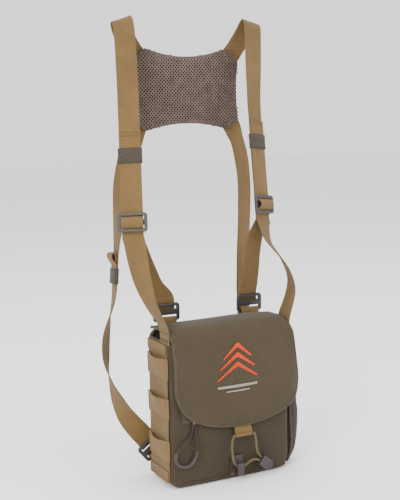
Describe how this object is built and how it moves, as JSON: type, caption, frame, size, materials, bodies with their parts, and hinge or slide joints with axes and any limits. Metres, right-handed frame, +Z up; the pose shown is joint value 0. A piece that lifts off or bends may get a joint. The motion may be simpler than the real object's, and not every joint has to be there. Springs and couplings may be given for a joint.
{
  "type": "binocular harness pack",
  "caption": "Chest pack for binoculars on a four-strap webbing harness, with a hinged padded lid, zipped front pocket, side loops and a mesh back pad.",
  "frame": {"origin": "on the pack's rear face, which rests on the wearer's chest, midway across it and 90 mm above its bottom edge", "axes": "seen from the front, +X to the right, +Y away towards the wearer, +Z up"},
  "size_m": [0.2372, 0.1299, 0.5438],
  "materials": {
    "buckle_plastic": "fine moulded grain",
    "cord_lock_plastic": "fine moulded grain",
    "elastic_cord": "braided shock cord",
    "emblem_thread": "satin embroidery thread",
    "foam": "matt closed-cell foam",
    "keeper_elastic": "ribbed elastic",
    "lid_fabric": "coated ripstop weave, brown olive",
    "mesh_backing": "plain knit",
    "pack_fabric": "coated woven fabric, brown olive",
    "pull_cord": "braided cord",
    "pull_tube": "soft matt sleeve",
    "spacer_mesh": "open spacer mesh",
    "spring_steel": "plain wire",
    "stretch_fabric": "matt stretch knit",
    "webbing": "tan nylon webbing, ribbed weave",
    "zip_coil": "nylon coil",
    "zip_slider": "dark coated slider",
    "zip_tape": "woven zip tape"
  },
  "bodies": {
    "pack": {"back_panel": "pack_fabric", "base_foam": "foam", "bottom_panel": "pack_fabric", "closure_hook": "buckle_plastic", "front_foam": "foam", "front_panel": "pack_fabric", "hook_anchor": "webbing", "ladder_loop_hem": "webbing", "ladder_loop_lower": "webbing", "ladder_loop_middle": "webbing", "ladder_loop_top": "webbing", "ladder_loop_upper": "webbing", "ladder_webbing": "webbing", "left_bridle_strap": "webbing", "left_lower_lock": "buckle_plastic", "left_lower_tab": "webbing", "left_outer_strap": "webbing", "left_shoulder_strap": "webbing", "left_side_panel": "pack_fabric", "left_strap_hem": "webbing", "left_strap_tail": "webbing", "left_top_lock": "buckle_plastic", "left_top_tab": "webbing", "left_triglide": "buckle_plastic", "left_underarm_strap": "webbing", "left_underarm_tail": "webbing", "mesh_backing": "mesh_backing", "mesh_panel": "spacer_mesh", "pocket_wall": "pack_fabric", "right_bridle_strap": "webbing", "right_lower_lock": "buckle_plastic", "right_lower_tab": "webbing", "right_outer_strap": "webbing", "right_shoulder_strap": "webbing", "right_side_panel": "pack_fabric", "right_strap_hem": "webbing", "right_strap_tail": "webbing", "right_top_lock": "buckle_plastic", "right_top_tab": "webbing", "right_triglide": "buckle_plastic", "right_underarm_strap": "webbing", "right_underarm_tail": "webbing", "stash_pocket": "stretch_fabric", "zip_coil": "zip_coil", "zip_tape": "zip_tape"},
    "lid": {"lid_panel": "lid_fabric", "lid_emblem": "emblem_thread", "closure_tab": "webbing", "closure_cord": "elastic_cord", "closure_cord_return": "elastic_cord", "cord_lock_body": "cord_lock_plastic", "cord_lock_spring": "spring_steel"},
    "cord_lock_button": {"cord_lock_button": "cord_lock_plastic"},
    "zip_slider": {"zip_slider": "zip_slider", "pull_cord": "pull_cord", "pull_tube": "pull_tube"},
    "left_keeper": {"left_keeper": "keeper_elastic"},
    "left_underarm_keeper": {"left_underarm_keeper": "keeper_elastic"},
    "right_keeper": {"right_keeper": "keeper_elastic"},
    "right_underarm_keeper": {"right_underarm_keeper": "keeper_elastic"}
  },
  "joints": [
    {"name": "lid_hinge", "type": "hinge", "parent": "pack", "child": "lid", "pos_m": [0, -0.006, 0.09], "axis": [-1, 0, 0], "range_deg": [0, 80], "deforming": ["closure_cord"]},
    {"name": "cord_lock_press", "type": "slide", "parent": "lid", "child": "cord_lock_button", "axis": [-0.766, 0, 0.6428], "range_m": [0, 0.003], "stiffness_N_per_m": 150, "springref_m": -0.002, "deforming": ["cord_lock_spring"]},
    {"name": "pocket_zip", "type": "slide", "parent": "pack", "child": "zip_slider", "axis": [1, 0, 0], "range_m": [0, 0.04]},
    {"name": "left_keeper_slide", "type": "slide", "parent": "pack", "child": "left_keeper", "axis": [0.0842, 0.2182, 0.9723], "range_m": [-0.045, 0.012]},
    {"name": "right_keeper_slide", "type": "slide", "parent": "pack", "child": "right_keeper", "axis": [0.0426, 0.1959, 0.9797], "range_m": [-0.045, 0.012]},
    {"name": "left_underarm_keeper_slide", "type": "slide", "parent": "pack", "child": "left_underarm_keeper", "axis": [0.1114, 0.0866, 0.99], "range_m": [-0.014, 0.005]},
    {"name": "right_underarm_keeper_slide", "type": "slide", "parent": "pack", "child": "right_underarm_keeper", "axis": [0, 0.0656, 0.9978], "range_m": [-0.014, 0.005]}
  ]
}
